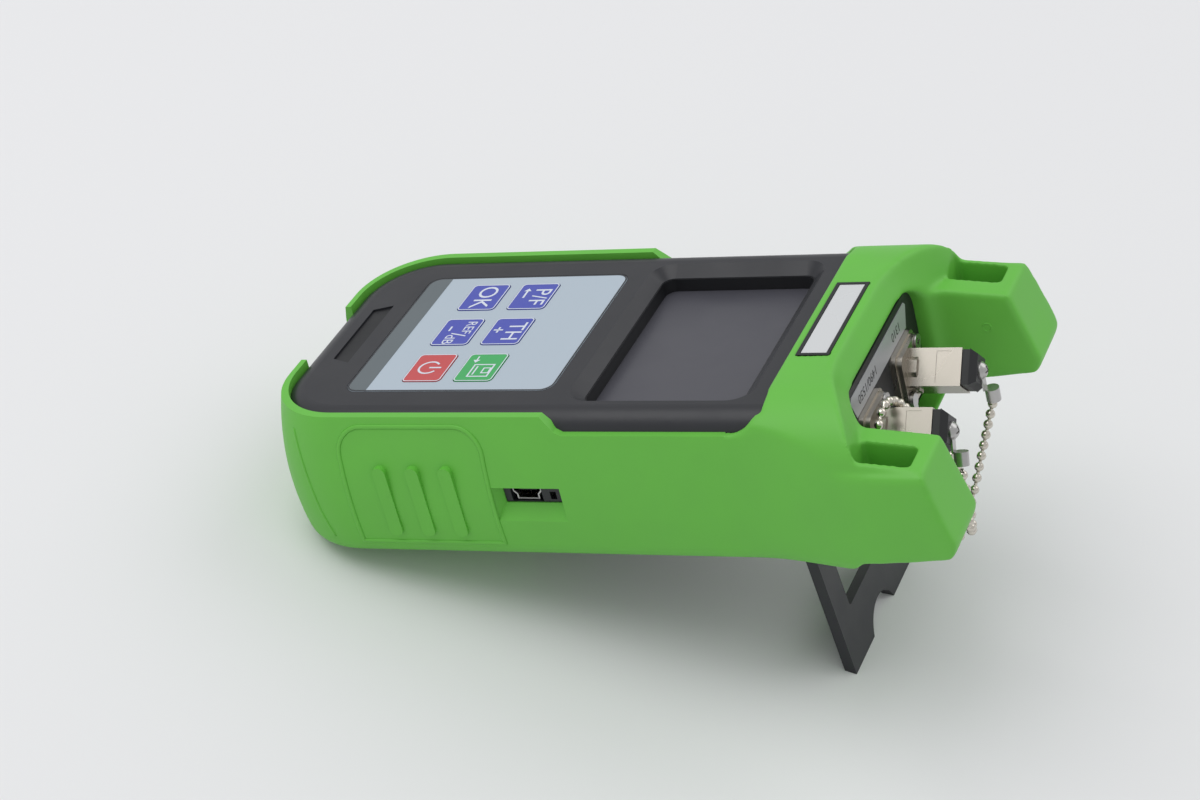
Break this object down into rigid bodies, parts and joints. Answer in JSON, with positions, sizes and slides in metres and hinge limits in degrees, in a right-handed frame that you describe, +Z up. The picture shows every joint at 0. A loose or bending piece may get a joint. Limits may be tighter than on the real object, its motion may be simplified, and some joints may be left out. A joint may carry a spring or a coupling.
{
  "type": "optical power meter",
  "caption": "Handheld optical power meter in a rubber boot with strap slots, keypad, display, capped fibre ports on bead chains and a fold-out stand.",
  "frame": {"origin": "centre of the footprint on the floor", "axes": "+Y from the lower end towards the optical ports, +Z up, +X to the right of the keypad"},
  "size_m": [0.0982, 0.1772, 0.0864],
  "materials": {
    "boot_rubber": "matt moulded",
    "case_plastic": "satin moulded",
    "panel_black": "matt",
    "plug_black": "satin moulded",
    "label_silver": "printed satin",
    "plate_white": "satin",
    "keypad_film": "fine matt printed film",
    "display_lens": "anti-glare",
    "seal_foam": "matt foam",
    "lcd_glass": "smooth",
    "white_plastic": "satin",
    "circuit_board": "solder mask",
    "battery_wrap": "shrink wrap",
    "lamp_clear": "clear",
    "contact_gold": "plated",
    "port_nickel": "satin nickel plate",
    "sleeve_ceramic": "polished ceramic",
    "zinc_steel": "plated",
    "chain_nickel": "bright nickel plate",
    "stand_plastic": "satin moulded",
    "key_blue": "matt printed film",
    "key_red": "matt printed film",
    "key_green": "matt printed film"
  },
  "bodies": {
    "meter": {"boot": "boot_rubber", "front_shell": "case_plastic", "rear_shell": "case_plastic", "case_screws": "zinc_steel", "end_panel": "panel_black", "port_label": "label_silver", "plate_frame": "panel_black", "name_plate": "plate_white", "model_plate": "panel_black", "keypad_film": "keypad_film", "display_lens": "display_lens", "lens_seal": "seal_foam", "lcd_glass": "lcd_glass", "lcd_backlight": "white_plastic", "main_board": "circuit_board", "board_screws": "zinc_steel", "key_switches": "panel_black", "board_chips": "panel_black", "buzzer": "panel_black", "battery_pack": "battery_wrap", "charge_board": "circuit_board", "charge_lamp": "lamp_clear", "usb_shell": "zinc_steel", "usb_tongue": "panel_black", "usb_contacts": "contact_gold", "port_left": "port_nickel", "port_right": "port_nickel", "detectors": "zinc_steel", "ferrule_sleeves": "sleeve_ceramic", "port_screws": "zinc_steel", "port_eyes": "zinc_steel", "stand_pin": "zinc_steel", "chain_left": "chain_nickel", "chain_right": "chain_nickel"},
    "stand": {"stand": "stand_plastic"},
    "key_ok": {"key_ok": "key_blue"},
    "key_minus": {"key_minus": "key_blue"},
    "key_power": {"key_power": "key_red"},
    "key_left": {"key_left": "key_blue"},
    "key_plus": {"key_plus": "key_blue"},
    "key_save": {"key_save": "key_green"},
    "plug_left": {"plug_left": "plug_black", "plug_screw_left": "zinc_steel", "plug_lug_left": "zinc_steel"},
    "plug_right": {"plug_right": "plug_black", "plug_screw_right": "zinc_steel", "plug_lug_right": "zinc_steel"}
  },
  "joints": [
    {"name": "stand_hinge", "type": "hinge", "parent": "meter", "child": "stand", "pos_m": [0, 0.0421, 0.04404], "axis": [-1, 0, 0], "range_deg": [0, 96]},
    {"name": "key_ok_press", "type": "slide", "parent": "meter", "child": "key_ok", "axis": [0, 0.3256, -0.9455], "range_m": [0, 0.00035], "stiffness_N_per_m": 3000},
    {"name": "key_minus_press", "type": "slide", "parent": "meter", "child": "key_minus", "axis": [0, 0.3256, -0.9455], "range_m": [0, 0.00035], "stiffness_N_per_m": 3000},
    {"name": "key_power_press", "type": "slide", "parent": "meter", "child": "key_power", "axis": [0, 0.3256, -0.9455], "range_m": [0, 0.00035], "stiffness_N_per_m": 3000},
    {"name": "key_left_press", "type": "slide", "parent": "meter", "child": "key_left", "axis": [0, 0.3256, -0.9455], "range_m": [0, 0.00035], "stiffness_N_per_m": 3000},
    {"name": "key_plus_press", "type": "slide", "parent": "meter", "child": "key_plus", "axis": [0, 0.3256, -0.9455], "range_m": [0, 0.00035], "stiffness_N_per_m": 3000},
    {"name": "key_save_press", "type": "slide", "parent": "meter", "child": "key_save", "axis": [0, 0.3256, -0.9455], "range_m": [0, 0.00035], "stiffness_N_per_m": 3000},
    {"name": "plug_left_pull", "type": "slide", "parent": "meter", "child": "plug_left", "axis": [0, 0.9455, 0.3256], "range_m": [0, 0.025]},
    {"name": "plug_right_pull", "type": "slide", "parent": "meter", "child": "plug_right", "axis": [0, 0.9455, 0.3256], "range_m": [0, 0.025]}
  ]
}
